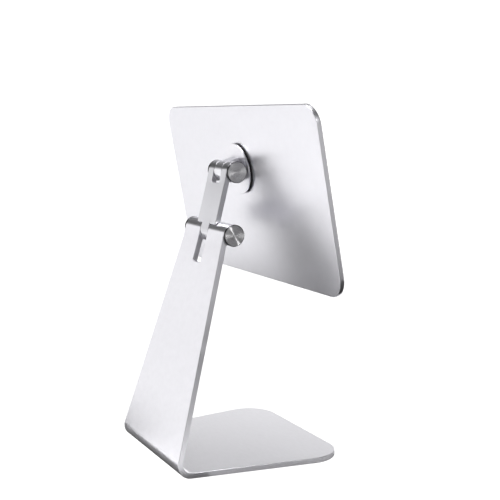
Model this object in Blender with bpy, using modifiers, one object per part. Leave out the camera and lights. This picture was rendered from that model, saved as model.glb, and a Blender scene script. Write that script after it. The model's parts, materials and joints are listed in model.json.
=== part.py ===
"""Magnetic tablet stand: a bent aluminium foot and neck, a swinging arm on two friction hinges, and a
magnetic plate that tilts and turns.

Run it with  blender --background --python part.py  or from Blender's text editor.
Metres, +Z up. The user sits at -Y, the origin is the centre of the foot pad's underside, and +X is the
user's right. Every piece is one object. The pieces of the arm and of the plate hang on empties that sit on
their hinge axes.
"""

import math

import bmesh
import bpy
from mathutils import Matrix, Vector

MM = 0.001

# ---- driving dimensions, in millimetres -------------------------------------------------------------------
GAP = 0.3                   # clearance kept between pieces that touch
SHEET = 4.5                 # thickness of the foot, the neck and the arm
EDGE = 0.4                  # broken edge round the sheets

FOOT_FRONT_Y = -68.8        # front edge of the foot
FOOT_FRONT_HALF = 78.3      # half width at the front edge, before its corners are rounded
FOOT_BEND_HALF = 60.4       # half width where the bend starts
NECK_BEND_HALF = 58.8       # half width where it ends
FOOT_CORNER = 26.0
PAD_PROUD = 0.6             # how far the foot pad stands out of its recess
PAD_THICK = 1.5
PAD_INSET = 4.0             # from the foot's outline to the recess

BEND_RADIUS = 11.0          # outer radius
NECK_LEAN = math.radians(16.0)
NECK_BACK_Y = 79.4          # where the neck's back plane would meet the foot's underside
NECK_LENGTH = 194.9         # from there to the lower hinge's axis, along the neck
NECK_TOP_HALF = 36.8        # half width at the knuckles
SLOT_HALF = 7.4
SLOT_BELOW_AXIS = 27.9
SLOT_CORNER = 1.0

BARREL = 8.75               # radius of every knuckle
AXIS_DEPTH = 8.35           # from a sheet's back plane to the hinge axis in its knuckles

ARM_LEAN = math.radians(14.1)
ARM_LENGTH = 50.55          # hinge axis to hinge axis
ARM_HALF = 16.8
ARM_TONGUE_HALF = 6.9
ARM_SHOULDER = 5.0          # where the arm widens, above the lower axis
CLEVIS_HALF = 7.1
CLEVIS_BELOW_AXIS = 11.25
CLEVIS_CORNER = 0.8

PLATE_TILT = math.radians(-11.0)
PLATE_SIZE = (265.2, 144.8)
PLATE_SHELL = 3.6
PLATE_EDGE = 0.5
PLATE_PAD = 0.5             # thickness of the soft sheet on the plate's front
PLATE_PAD_INSET = 1.2
PLATE_CORNER = 16.0
PLATE_DROP = 20.3           # from the turning axis down to the plate's centre
PLATE_FROM_AXIS = 12.0      # from the upper hinge axis to the plate's back face

BRACKET_HALF = 6.6          # the bracket's tongue in the clevis
FLANGE_RADIUS = 21.2
FLANGE_THICK = 1.0
FLANGE_EDGE = 0.2
FLANGE_STANDOFF = 1.7       # from the plate's back face to the flange
STEM_HALF_HEIGHT = 9.8
HUB_RADIUS = 8.0
HUB_DEPTH = 1.9             # from the plate's back face to the end of the hub
PIVOT_RADIUS = 14.3         # the pocket in the plate's front, round the hub
PIVOT_FLOOR = 1.2           # metal left between that pocket and the plate's back face
SLIP_RADIUS = 13.8
DISC_RADIUS = 14.0
DISC_THICK = 1.0
SCREW_OFFSET = 3.6          # from the turning axis to each screw, sideways and up
SCREW_RADIUS = 1.2
SCREW_HEAD_RADIUS = 2.3
SCREW_HEAD_FROM = 2.9       # the head's seat and face, from the plate's back face
SCREW_HEAD_TO = 3.5
SCREW_REACH = 5.0           # how far a screw reaches into the bracket, from the same face

CAP_RADIUS = 8.8
CAP_THICK = 1.7
CAP_EDGE = 0.35
CAP_PLUG = 1.4              # how far a cap's plug reaches into the knuckle
PIN_RADIUS = 2.5
PIN_HEAD_RADIUS = 4.6
PIN_END = 1.9               # from the knuckle's end face down to the pin's end
SOCKET_RADIUS = 1.6
SOCKET_FLOOR = 2.4
NUT_RADIUS = 4.8
NUT_SEAT = 3.4              # from the knuckle's end face down to the nut's seat
SPRING_RADIUS = 5.4
SPRING_THICK = 0.6
SPRING_RISE = 0.5           # how far a disc spring's inner rim stands above its outer rim
BORE_RADIUS = 2.9
BUSH_OUTER = 3.9
BUSH_SHORT = 0.2            # from the tongue's side face in to the bush's end
POCKET_RADIUS = 6.2         # counterbores at a hinge's two ends
POCKET_DEPTH = 6.5
WASHER_RADIUS = 5.8
WASHER_THICK = 0.8

MAGNET_SIZE = (30.0, 9.0, 1.5)
MAGNET_SINK = 0.4           # from the shell's front face to the magnet's
MAGNET_COLUMNS = (-104.0, -52.0, 0.0, 52.0, 104.0)
MAGNET_ROWS = (-58.0, 58.0)
SIDE_MAGNET_X = 118.0

FINE = 44                   # sides of the round shapes that show
COARSE = 24                 # sides of the ones inside
SMALL = 16                  # sides of screws and their holes
OVER = 2.0                  # how far a cutter reaches past the face it opens
THROUGH = 15.0              # how far a cutter reaches to both sides of a hinge axis
BEND_STEPS = 14

# ---- what follows from them -------------------------------------------------------------------------------
BEND_ANGLE = math.pi / 2 + NECK_LEAN
BEND_TANGENT = BEND_RADIUS * math.tan(BEND_ANGLE / 2)
FOOT_FLAT = NECK_BACK_Y - BEND_TANGENT - FOOT_FRONT_Y
SIDE_SLOPE = math.atan2(FOOT_FRONT_HALF - FOOT_BEND_HALF, FOOT_FLAT)
NECK_UP = Vector((0, -math.sin(NECK_LEAN), math.cos(NECK_LEAN)))
NECK_BACK = Vector((0, math.cos(NECK_LEAN), math.sin(NECK_LEAN)))
NECK_FOOT = Vector((0, NECK_BACK_Y, PAD_PROUD))
LOWER_AXIS = NECK_FOOT + NECK_UP * NECK_LENGTH - NECK_BACK * AXIS_DEPTH
ARM_UP = Vector((0, -math.sin(ARM_LEAN), math.cos(ARM_LEAN)))
UPPER_AXIS = LOWER_AXIS + ARM_UP * ARM_LENGTH


# ---- collections, materials and empties -------------------------------------------------------------------
def clear_scene():
    for old in list(bpy.data.objects):
        bpy.data.objects.remove(old, do_unlink=True)


def collection(name):
    made = bpy.data.collections.new(name)
    bpy.context.scene.collection.children.link(made)
    return made


def material(name, colour, roughness, metallic):
    made = bpy.data.materials.new(name)
    made.use_nodes = True
    made.diffuse_color = (*colour, 1)
    shader = made.node_tree.nodes["Principled BSDF"]
    shader.inputs["Base Color"].default_value = (*colour, 1)
    shader.inputs["Roughness"].default_value = roughness
    shader.inputs["Metallic"].default_value = metallic
    return made


def hinge_empty(name, place, turn):
    """An empty on a hinge axis. Its X is the axis, and its Z runs up the piece that the hinge carries."""
    empty = bpy.data.objects.new(name, None)
    empty.empty_display_size = 0.02
    empty.location = place * MM
    empty.rotation_euler = (turn, 0, 0)
    PARTS.objects.link(empty)
    return empty


clear_scene()
PARTS = collection("tablet_stand")
CUTTERS = collection("cutters")
ALUMINIUM = ((0.80, 0.80, 0.83), 0.38, 1.0)
SPUN_STEEL = ((0.62, 0.62, 0.64), 0.25, 1.0)
STEEL = ((0.45, 0.46, 0.48), 0.35, 1.0)
POLYMER = ((0.02, 0.02, 0.022), 0.55, 0.0)
SILICONE = ((0.05, 0.05, 0.053), 0.8, 0.0)
NICKEL = ((0.70, 0.69, 0.66), 0.3, 1.0)

TURN_TO_X = (0, math.pi / 2, 0)
TURN_TO_MINUS_X = (0, -math.pi / 2, 0)
TURN_TO_BACK = (-math.pi / 2, 0, 0)         # a turned shape's top then faces +Y, the back of the plate


# ---- ways of making a solid -------------------------------------------------------------------------------
def register(obj, parent=None, finish=None, place=(0, 0, 0), turn=(0, 0, 0)):
    """Puts an object in the parts, or in the cutters if it has no finish. Places are millimetres."""
    obj.location = Vector(place) * MM
    obj.rotation_euler = turn
    obj.parent = parent
    if finish:
        PARTS.objects.link(obj)
        obj.data.materials.append(material(obj.name, *finish))
    else:
        CUTTERS.objects.link(obj)
        obj.hide_render = True
        obj.display_type = "WIRE"
    return obj


def smooth(obj, angle=math.radians(40)):
    obj.data.shade_smooth()
    obj.data.set_sharp_from_angle(angle=angle)
    return obj


def from_bmesh(name, bm):
    mesh = bpy.data.meshes.new(name)
    bm.to_mesh(mesh)
    bm.free()
    return bpy.data.objects.new(name, mesh)


def box(name, low, high):
    """A block between two corners, in millimetres in its parent's frame."""
    low, high = Vector(low) * MM, Vector(high) * MM
    bm = bmesh.new()
    middle = Matrix.Translation((low + high) / 2)
    bmesh.ops.create_cube(bm, size=1, matrix=middle @ Matrix.Diagonal((*(high - low), 1)))
    return from_bmesh(name, bm)


def cylinder(name, radius, low, high, sides=FINE, phase=0.0):
    """A cylinder along Z from low to high, in millimetres."""
    bm = bmesh.new()
    middle = Matrix.Translation((0, 0, (low + high) / 2 * MM)) @ Matrix.Rotation(phase, 4, "Z")
    bmesh.ops.create_cone(bm, cap_ends=True, segments=sides, radius1=radius * MM, radius2=radius * MM,
                          depth=(high - low) * MM, matrix=middle)
    return from_bmesh(name, bm)


def turned(name, profile, sides=COARSE, closed=False):
    """A profile of (radius, height) points turned round Z. It runs down its outer side, top to bottom."""
    bm = bmesh.new()
    points = [bm.verts.new((r * MM, 0, h * MM)) for r, h in profile]
    pairs = list(zip(points, points[1:]))
    if closed:
        pairs.append((points[-1], points[0]))
    for start, end in pairs:
        bm.edges.new((start, end))
    obj = from_bmesh(name, bm)
    screw = obj.modifiers.new("turn", "SCREW")
    screw.steps = screw.render_steps = sides
    screw.use_merge_vertices = True
    screw.merge_threshold = 0.00001
    return obj


def ring(name, inner, outer, low, high, sides=COARSE):
    """A flat ring round Z, in millimetres."""
    return turned(name, [(outer, high), (outer, low), (inner, low), (inner, high)], sides, closed=True)


def slab(name, outline, thickness):
    """A flat outline in X and Y, extruded from 0 up to its thickness along Z, in millimetres."""
    curve = bpy.data.curves.new(name + "_outline", "CURVE")
    curve.dimensions = "2D"
    curve.fill_mode = "BOTH"
    curve.extrude = thickness / 2 * MM
    spline = curve.splines.new("POLY")
    spline.points.add(len(outline) - 1)
    for point, (x, y) in zip(spline.points, outline):
        point.co = (x * MM, y * MM, 0, 1)
    spline.use_cyclic_u = True
    flat = bpy.data.objects.new(name + "_outline", curve)
    CUTTERS.objects.link(flat)
    evaluated = flat.evaluated_get(bpy.context.evaluated_depsgraph_get())
    mesh = bpy.data.meshes.new_from_object(evaluated)
    bpy.data.objects.remove(flat)
    bm = bmesh.new()
    bm.from_mesh(mesh)
    bmesh.ops.remove_doubles(bm, verts=bm.verts, dist=1e-6)
    bmesh.ops.translate(bm, verts=bm.verts, vec=(0, 0, thickness / 2 * MM))
    bmesh.ops.recalc_face_normals(bm, faces=bm.faces)
    bpy.data.meshes.remove(mesh)
    return from_bmesh(name, bm)


def boolean(obj, operation, tool):
    change = obj.modifiers.new(tool.name, "BOOLEAN")
    change.operation = operation
    change.solver = "EXACT"
    change.object = tool
    return obj


def bevel(obj, width, angle=math.radians(60), segments=1):
    edge = obj.modifiers.new("edge", "BEVEL")
    edge.width = width * MM
    edge.segments = segments
    edge.limit_method = "ANGLE"
    edge.angle_limit = angle
    return obj


def rounded_rectangle(size, radius, centre=(0, 0), steps=8):
    outline = []
    for index, (sx, sy) in enumerate(((1, 1), (-1, 1), (-1, -1), (1, -1))):
        cx = centre[0] + sx * (size[0] / 2 - radius)
        cy = centre[1] + sy * (size[1] / 2 - radius)
        for step in range(steps + 1):
            a = math.pi / 2 * (index + step / steps)
            outline.append((cx + radius * math.cos(a), cy + radius * math.sin(a)))
    return outline


# ---- the foot and neck: one sheet, cut flat and then bent -------------------------------------------------
def foot_corner(inset=0.0, steps=8):
    """Rows of (distance from the front edge, half width) round a front corner of the foot."""
    lean = math.pi / 2 + SIDE_SLOPE
    centre = FOOT_FRONT_HALF - FOOT_CORNER * (1 + math.sin(SIDE_SLOPE)) / math.cos(SIDE_SLOPE)
    rows = []
    for step in range(steps + 1):
        a = lean * step / steps
        radius = FOOT_CORNER - inset
        rows.append((FOOT_CORNER - radius * math.cos(a), centre + radius * math.sin(a)))
    return rows


def sheet_rows():
    """Rows of (distance along the flat sheet, half width), from the foot's front edge to the neck's top."""
    bend_length = BEND_RADIUS * BEND_ANGLE
    neck_length = NECK_LENGTH - BEND_TANGENT
    rows = foot_corner()
    narrowing = (FOOT_BEND_HALF - NECK_BEND_HALF) / BEND_STEPS
    rows += [(FOOT_FLAT + bend_length * step / BEND_STEPS, FOOT_BEND_HALF - narrowing * step)
             for step in range(BEND_STEPS + 1)]
    rows.append((FOOT_FLAT + bend_length + neck_length - BARREL, NECK_TOP_HALF))
    rows.append((FOOT_FLAT + bend_length + neck_length, NECK_TOP_HALF))
    return rows


def on_sheet(distance):
    """Where a distance along the flat sheet lies on the bent sheet's outer face."""
    if distance <= FOOT_FLAT:
        return Vector((0, FOOT_FRONT_Y + distance, PAD_PROUD))
    angle = min((distance - FOOT_FLAT) / BEND_RADIUS, BEND_ANGLE)
    centre = Vector((0, FOOT_FRONT_Y + FOOT_FLAT, PAD_PROUD + BEND_RADIUS))
    round_part = centre + Vector((0, math.sin(angle), -math.cos(angle))) * BEND_RADIUS
    return round_part + NECK_UP * (distance - FOOT_FLAT - BEND_RADIUS * angle)


def bent_sheet():
    bm = bmesh.new()
    rails = []
    for distance, half in sheet_rows():
        middle = on_sheet(distance)
        rails.append([bm.verts.new((middle + Vector((side * half, 0, 0))) * MM) for side in (-1, 1)])
    for near, far in zip(rails, rails[1:]):
        bm.faces.new((near[0], far[0], far[1], near[1]))
    obj = from_bmesh("base_and_neck", bm)
    thick = obj.modifiers.new("thickness", "SOLIDIFY")
    thick.thickness = SHEET * MM
    thick.offset = -1
    thick.use_even_offset = True
    return bevel(obj, EDGE)


def hinge_bore(name, parent, half, inner, place=(0, 0, 0)):
    """The bore, end pockets and washer recesses of a clevis, as one turned cutter along X."""
    floor = half - POCKET_DEPTH
    recess = inner + WASHER_THICK + 2 * GAP
    mouth = half + OVER
    side = [(POCKET_RADIUS, mouth), (POCKET_RADIUS, floor), (BORE_RADIUS, floor),
            (BORE_RADIUS, recess), (WASHER_RADIUS + GAP, recess)]
    profile = [(0, mouth)] + side + [(r, -h) for r, h in reversed(side)] + [(0, -mouth)]
    return register(turned(name, profile), parent, place=place, turn=TURN_TO_X)


def make_base_and_neck():
    obj = register(bent_sheet(), finish=ALUMINIUM)
    half, below = NECK_TOP_HALF, SLOT_BELOW_AXIS
    barrel = cylinder("neck_barrel", BARREL, -half, half)
    boolean(obj, "UNION", register(barrel, NECK, turn=TURN_TO_X))
    slot = box("neck_slot", (-SLOT_HALF, -THROUGH, -below), (SLOT_HALF, THROUGH, THROUGH))
    boolean(obj, "DIFFERENCE", bevel(register(slot, NECK), SLOT_CORNER, segments=3))
    boolean(obj, "DIFFERENCE", hinge_bore("neck_bore", NECK, half, ARM_TONGUE_HALF))
    recess = slab("pad_recess", foot_pad_outline(PAD_INSET), PAD_THICK + GAP)
    boolean(obj, "DIFFERENCE", register(recess))
    return smooth(obj)


def foot_pad_outline(inset):
    """The foot's outline moved in, closed off short of the bend."""
    right = [(half, FOOT_FRONT_Y + along) for along, half in foot_corner(inset)]
    back = FOOT_FRONT_Y + FOOT_FLAT - inset
    right.append((FOOT_BEND_HALF - inset, back))
    return right + [(-x, y) for x, y in reversed(right)]


def make_foot_pad():
    pad = slab("base_pad", foot_pad_outline(PAD_INSET + GAP), PAD_THICK)
    return register(pad, finish=SILICONE)


# ---- the arm ----------------------------------------------------------------------------------------------
def make_arm():
    back, front = AXIS_DEPTH, AXIS_DEPTH - SHEET
    obj = box("arm", (-ARM_HALF, front, ARM_SHOULDER), (ARM_HALF, back, ARM_LENGTH))
    obj = register(obj, ARM, ALUMINIUM)
    relief = cylinder("arm_relief", BARREL + 2 * GAP, -ARM_HALF - OVER, ARM_HALF + OVER)
    boolean(obj, "DIFFERENCE", register(relief, ARM, turn=TURN_TO_X))
    half = ARM_TONGUE_HALF
    web = box("arm_tongue_web", (-half, front, 0), (half, back, 2 * ARM_SHOULDER))
    boolean(obj, "UNION", register(web, ARM))
    tongue = cylinder("arm_tongue", BARREL, -half, half)
    boolean(obj, "UNION", register(tongue, ARM, turn=TURN_TO_X))
    barrel = cylinder("arm_barrel", BARREL, -ARM_HALF, ARM_HALF)
    boolean(obj, "UNION", register(barrel, ARM, place=(0, 0, ARM_LENGTH), turn=TURN_TO_X))
    bore = cylinder("arm_bush_bore", BUSH_OUTER + GAP, -half - OVER, half + OVER, COARSE)
    boolean(obj, "DIFFERENCE", register(bore, ARM, turn=TURN_TO_X))
    low, high = ARM_LENGTH - CLEVIS_BELOW_AXIS, ARM_LENGTH + THROUGH
    window = box("arm_clevis", (-CLEVIS_HALF, -THROUGH, low), (CLEVIS_HALF, THROUGH, high))
    boolean(obj, "DIFFERENCE", bevel(register(window, ARM), CLEVIS_CORNER, segments=3))
    top = (0, 0, ARM_LENGTH)
    boolean(obj, "DIFFERENCE", hinge_bore("arm_bore", ARM, ARM_HALF, BRACKET_HALF, place=top))
    return smooth(obj)


# ---- what is inside a hinge -------------------------------------------------------------------------------
def make_hinge(prefix, frame, half, tongue_half, tongue_frame):
    """Pin, nut, disc springs, friction washers, bush and end caps round the X axis of a frame."""
    floor = half - POCKET_DEPTH
    washer = tongue_half + GAP
    seat = half + GAP
    top = POCKET_DEPTH - GAP - CAP_PLUG
    end = -(2 * half - POCKET_DEPTH - GAP - PIN_END)
    pin = turned(f"{prefix}_pin", [(0, top), (PIN_HEAD_RADIUS, top), (PIN_HEAD_RADIUS, 0), (PIN_RADIUS, 0),
                                   (PIN_RADIUS, end), (0, end)])
    hexagon = cylinder(f"{prefix}_pin_socket", SOCKET_RADIUS, SOCKET_FLOOR, POCKET_DEPTH + OVER, 6)
    pin = register(pin, frame, STEEL, (-floor - GAP, 0, 0), TURN_TO_MINUS_X)
    boolean(pin, "DIFFERENCE", register(hexagon, frame, place=(-floor - GAP, 0, 0), turn=TURN_TO_MINUS_X))

    tall = SPRING_THICK + SPRING_RISE
    for index, outer_low, inner_low in ((1, 0, SPRING_RISE), (2, SPRING_RISE, 0)):
        start = floor + GAP + (index - 1) * (tall + GAP)
        cone = [(SPRING_RADIUS, outer_low + SPRING_THICK), (SPRING_RADIUS, outer_low),
                (BORE_RADIUS, inner_low), (BORE_RADIUS, inner_low + SPRING_THICK)]
        disc = turned(f"{prefix}_disc_spring_{index}", cone, closed=True)
        register(disc, frame, STEEL, (start, 0, 0), TURN_TO_X)

    nut = cylinder(f"{prefix}_nut", NUT_RADIUS, half - NUT_SEAT, half - CAP_PLUG - GAP, 6)
    nut = register(nut, frame, STEEL, turn=TURN_TO_X)
    thread = cylinder(f"{prefix}_nut_bore", PIN_RADIUS + GAP, 0, half + OVER, COARSE)
    boolean(nut, "DIFFERENCE", register(thread, frame, turn=TURN_TO_X))

    for side, turn in (("left", TURN_TO_MINUS_X), ("right", TURN_TO_X)):
        disc = ring(f"{prefix}_friction_washer_{side}", BORE_RADIUS, WASHER_RADIUS, washer,
                    washer + WASHER_THICK)
        register(disc, frame, POLYMER, turn=turn)
        plug = POCKET_RADIUS - GAP
        face = seat + CAP_THICK
        profile = [(0, face), (CAP_RADIUS - CAP_EDGE, face),
                   (CAP_RADIUS, face - CAP_EDGE), (CAP_RADIUS, seat), (plug, seat),
                   (plug, half - CAP_PLUG + GAP), (0, half - CAP_PLUG + GAP)]
        smooth(register(turned(f"{prefix}_cap_{side}", profile, FINE), frame, SPUN_STEEL, turn=turn))

    reach = tongue_half - BUSH_SHORT
    bush = ring(f"{prefix}_bush", BORE_RADIUS, BUSH_OUTER, -reach, reach)
    register(bush, tongue_frame, POLYMER, turn=TURN_TO_X)


# ---- the bracket and its turntable ------------------------------------------------------------------------
def behind(depth):
    """A height along a shape turned to face the back, from a depth in front of the plate's back face."""
    return -PLATE_FROM_AXIS - depth


def stem_outline():
    """The bracket from the side: round its knuckle, then straight to the flange. X is back, Y is up."""
    reach = behind(-FLANGE_STANDOFF - FLANGE_THICK / 2)
    corner = Vector((reach, STEM_HALF_HEIGHT))
    touch = math.acos(BARREL / corner.length)
    start = math.atan2(corner.y, corner.x) - touch
    steps = 30
    arc = [start - 2 * start * step / steps for step in range(steps + 1)]
    outline = [(corner.x, corner.y)]
    outline += [(BARREL * math.cos(a), BARREL * math.sin(a)) for a in arc]
    return outline + [(corner.x, -corner.y)]


SCREW_PLACES = [(sx * SCREW_OFFSET, sy * SCREW_OFFSET) for sx in (-1, 1) for sy in (-1, 1)]
SCREW_HOLE = SCREW_RADIUS + GAP


def make_bracket():
    flange_back = behind(-FLANGE_STANDOFF - FLANGE_THICK)
    profile = [(0, flange_back), (FLANGE_RADIUS - FLANGE_EDGE, flange_back),
               (FLANGE_RADIUS, flange_back - FLANGE_EDGE),
               (FLANGE_RADIUS, behind(-FLANGE_STANDOFF)), (HUB_RADIUS, behind(-FLANGE_STANDOFF)),
               (HUB_RADIUS, behind(HUB_DEPTH)), (0, behind(HUB_DEPTH))]
    obj = turned("tilt_bracket", profile, FINE)
    obj = register(obj, PLATE, ALUMINIUM, turn=TURN_TO_BACK)
    stem = slab("bracket_stem", stem_outline(), 2 * BRACKET_HALF)
    stem.data.transform(Matrix(((0, 0, 1, -BRACKET_HALF * MM), (1, 0, 0, 0), (0, 1, 0, 0), (0, 0, 0, 1))))
    boolean(obj, "UNION", register(stem, PLATE))
    bore = cylinder("bracket_bush_bore", BUSH_OUTER + GAP, -THROUGH, THROUGH, COARSE)
    boolean(obj, "DIFFERENCE", register(bore, PLATE, turn=TURN_TO_X))
    for index, (x, z) in enumerate(SCREW_PLACES):
        hole = cylinder(f"bracket_screw_hole_{index}", SCREW_HOLE, behind(HUB_DEPTH + OVER),
                        behind(-SCREW_REACH - 0.5), SMALL)
        boolean(obj, "DIFFERENCE", register(hole, PLATE, place=(x, 0, z), turn=TURN_TO_BACK))
    return smooth(obj)


def make_turntable():
    """The rings between bracket and plate, and the disc and screws that hold the plate on."""
    inner = HUB_RADIUS + 2 * GAP
    gasket = ring("turntable_gasket", inner, FLANGE_RADIUS - 2 * FLANGE_EDGE, behind(-GAP),
                  behind(-FLANGE_STANDOFF + GAP), FINE)
    register(gasket, PLATE, POLYMER, turn=TURN_TO_BACK)
    slip = ring("slip_ring", inner, SLIP_RADIUS, behind(HUB_DEPTH), behind(PIVOT_FLOOR + GAP))
    register(slip, PLATE, POLYMER, turn=TURN_TO_BACK)
    seat = HUB_DEPTH + GAP
    disc = cylinder("retaining_disc", DISC_RADIUS, behind(seat + DISC_THICK), behind(seat), COARSE)
    disc = register(disc, PLATE, STEEL, turn=TURN_TO_BACK)
    for index, (x, z) in enumerate(SCREW_PLACES, start=1):
        wide, step, mouth = SCREW_HEAD_RADIUS + GAP, behind(SCREW_HEAD_FROM - GAP), behind(SCREW_REACH)
        hole = turned(f"disc_screw_hole_{index}", [(0, behind(0)), (SCREW_HOLE, behind(0)),
                                                   (SCREW_HOLE, step), (wide, step), (wide, mouth),
                                                   (0, mouth)], SMALL)
        boolean(disc, "DIFFERENCE", register(hole, PLATE, place=(x, 0, z), turn=TURN_TO_BACK))
        tip, under, top = behind(-SCREW_REACH), behind(SCREW_HEAD_FROM), behind(SCREW_HEAD_TO)
        screw = turned(f"retaining_screw_{index}", [(0, tip), (SCREW_RADIUS, tip), (SCREW_RADIUS, under),
                                                    (SCREW_HEAD_RADIUS, under), (SCREW_HEAD_RADIUS, top),
                                                    (0, top)], SMALL)
        register(screw, PLATE, STEEL, place=(x, 0, z), turn=TURN_TO_BACK)


# ---- the magnetic plate -----------------------------------------------------------------------------------
def stood_up(obj, front):
    """Stands a slab up in the plate's frame, its last face at a depth in front of the plate's back face."""
    obj.data.transform(Matrix(((1, 0, 0, 0), (0, 0, 1, behind(front) * MM), (0, 1, 0, 0), (0, 0, 0, 1))))
    obj.data.flip_normals()
    return obj


def magnet_places():
    grid = [(x, z - PLATE_DROP, 0) for z in MAGNET_ROWS for x in MAGNET_COLUMNS]
    return grid + [(side * SIDE_MAGNET_X, -PLATE_DROP, 90) for side in (-1, 1)]


def make_plate():
    centre = (0, -PLATE_DROP)
    shell = stood_up(slab("plate_shell", rounded_rectangle(PLATE_SIZE, PLATE_CORNER, centre), PLATE_SHELL),
                     PLATE_SHELL)
    shell = bevel(register(shell, PLATE, ALUMINIUM), PLATE_EDGE, segments=2)
    back, floor, mouth = behind(-OVER), behind(PIVOT_FLOOR), behind(PLATE_SHELL + OVER)
    pivot = turned("plate_pivot_hole", [(0, back), (HUB_RADIUS + GAP, back), (HUB_RADIUS + GAP, floor),
                                        (PIVOT_RADIUS, floor), (PIVOT_RADIUS, mouth), (0, mouth)])
    boolean(shell, "DIFFERENCE", register(pivot, PLATE, turn=TURN_TO_BACK))

    size = tuple(side - 2 * PLATE_PAD_INSET for side in PLATE_SIZE)
    pad = slab("plate_pad", rounded_rectangle(size, PLATE_CORNER - PLATE_PAD_INSET, centre), PLATE_PAD)
    register(stood_up(pad, PLATE_SHELL + GAP + PLATE_PAD), PLATE, SILICONE)

    long, wide, thick = MAGNET_SIZE
    back = PLATE_SHELL - MAGNET_SINK - thick
    for index, (x, z, turn) in enumerate(magnet_places(), start=1):
        half_x, half_z = (long / 2, wide / 2) if turn == 0 else (wide / 2, long / 2)
        pocket = box(f"magnet_pocket_{index}",
                     (x - half_x - GAP, behind(PLATE_SHELL + OVER), z - half_z - GAP),
                     (x + half_x + GAP, behind(back) + GAP, z + half_z + GAP))
        boolean(shell, "DIFFERENCE", register(pocket, PLATE))
        magnet = box(f"magnet_{index:02d}", (x - half_x, behind(back + thick), z - half_z),
                     (x + half_x, behind(back), z + half_z))
        register(magnet, PLATE, NICKEL)


NECK = hinge_empty("neck_frame", LOWER_AXIS, NECK_LEAN)
ARM = hinge_empty("lower_hinge_axis", LOWER_AXIS, ARM_LEAN)
CLEVIS = hinge_empty("clevis_frame", UPPER_AXIS, ARM_LEAN)
PLATE = hinge_empty("upper_hinge_axis", UPPER_AXIS, PLATE_TILT)

make_base_and_neck()
make_foot_pad()
make_arm()
make_hinge("lower", NECK, NECK_TOP_HALF, ARM_TONGUE_HALF, ARM)
make_hinge("upper", CLEVIS, ARM_HALF, BRACKET_HALF, PLATE)
make_bracket()
make_turntable()
make_plate()
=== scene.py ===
# %% [markdown]
# # A magnetic tablet stand, finished
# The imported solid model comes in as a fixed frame. It says where every part sits and how the hinges move.
# This lesson makes finer skins for the parts that show, gives every part its finish, and lights the stand
# as in a plain studio. The scene is in metres, +Z is up and the user sits at -Y. The parts are drawn in
# millimetres, as a workshop drawing is.

# %% Load the frame
import json
import math

import bmesh
import bpy
from mathutils import Matrix, Vector


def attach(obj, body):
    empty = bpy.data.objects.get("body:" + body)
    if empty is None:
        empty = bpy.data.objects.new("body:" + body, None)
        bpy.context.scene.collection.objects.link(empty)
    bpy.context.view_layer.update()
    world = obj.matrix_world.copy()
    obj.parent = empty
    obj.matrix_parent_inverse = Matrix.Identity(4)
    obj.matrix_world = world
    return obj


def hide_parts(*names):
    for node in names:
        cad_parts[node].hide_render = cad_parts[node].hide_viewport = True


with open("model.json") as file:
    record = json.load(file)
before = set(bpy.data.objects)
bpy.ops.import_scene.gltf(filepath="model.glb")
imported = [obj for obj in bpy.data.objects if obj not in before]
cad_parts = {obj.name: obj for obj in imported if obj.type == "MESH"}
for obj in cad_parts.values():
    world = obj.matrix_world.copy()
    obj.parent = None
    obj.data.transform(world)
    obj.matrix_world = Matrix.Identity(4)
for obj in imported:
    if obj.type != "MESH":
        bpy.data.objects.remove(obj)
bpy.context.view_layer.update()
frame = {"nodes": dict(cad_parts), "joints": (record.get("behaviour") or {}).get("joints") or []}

MM = 0.001
scene = bpy.context.scene

# %% [markdown]
# ## The camera
# The stand is seen from behind and to its right, from just above the lower hinge, through a lens a bit
# longer than a portrait one. Heading and pitch are turned into a camera matrix by hand, because a matrix
# has no order of turning to get wrong.

# %% Camera
CAMERA_PLACE = Vector((-0.7159, 0.3605, 0.2764))
HEADING, PITCH, ROLL = (math.radians(a) for a in (62.22, 7.65, 0.38))
LENS = 69.45
SENSOR_WIDTH = 36
NEAREST_SEEN = 0.01

ahead = Vector((math.sin(HEADING) * math.cos(PITCH), -math.cos(HEADING) * math.cos(PITCH), -math.sin(PITCH)))
level = Vector((-math.cos(HEADING), -math.sin(HEADING), 0))
above = level.cross(ahead)
across = level * math.cos(ROLL) + above * math.sin(ROLL)
upright = above * math.cos(ROLL) - level * math.sin(ROLL)
turn = Matrix((across, upright, -ahead)).transposed().to_4x4()

camera = bpy.data.objects.new("camera", bpy.data.cameras.new("camera"))
camera.data.lens = LENS
camera.data.sensor_width = SENSOR_WIDTH
camera.data.clip_start = NEAREST_SEEN
camera.matrix_world = Matrix.Translation(CAMERA_PLACE) @ turn
scene.collection.objects.link(camera)
scene.camera = camera
print("camera looks along", [round(v, 3) for v in ahead])

# %% [markdown]
# ## Writing node trees
# A finish is a graph of nodes. It could be wired one link at a time, but the sums in it read better as
# sums. So a small class wraps an output socket, and an expression on it adds its Math nodes. One method
# adds every other kind of node, with its settings first and its inputs after them.

# %% A class for sums on sockets
class Wire:
    """An output socket on which sums can be written. Each sum adds a Math node."""

    def __init__(self, tree, socket):
        self.tree = tree
        self.socket = socket

    def math(self, operation, *values):
        node = self.tree.nodes.new("ShaderNodeMath")
        node.operation = operation
        for slot, value in zip(node.inputs, values):
            join(self.tree, slot, value)
        return Wire(self.tree, node.outputs[0])

    def __add__(self, other):
        return self.math("ADD", self, other)

    def __radd__(self, other):
        return self.math("ADD", other, self)

    def __sub__(self, other):
        return self.math("SUBTRACT", self, other)

    def __rsub__(self, other):
        return self.math("SUBTRACT", other, self)

    def __mul__(self, other):
        return self.math("MULTIPLY", self, other)

    def __rmul__(self, other):
        return self.math("MULTIPLY", other, self)


def join(tree, slot, value):
    """Puts a wire, a number, a colour or a vector into a socket."""
    if isinstance(value, Wire):
        tree.links.new(value.socket, slot)
    elif slot.type == "RGBA":
        slot.default_value = (*value, 1)
    else:
        slot.default_value = value


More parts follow.
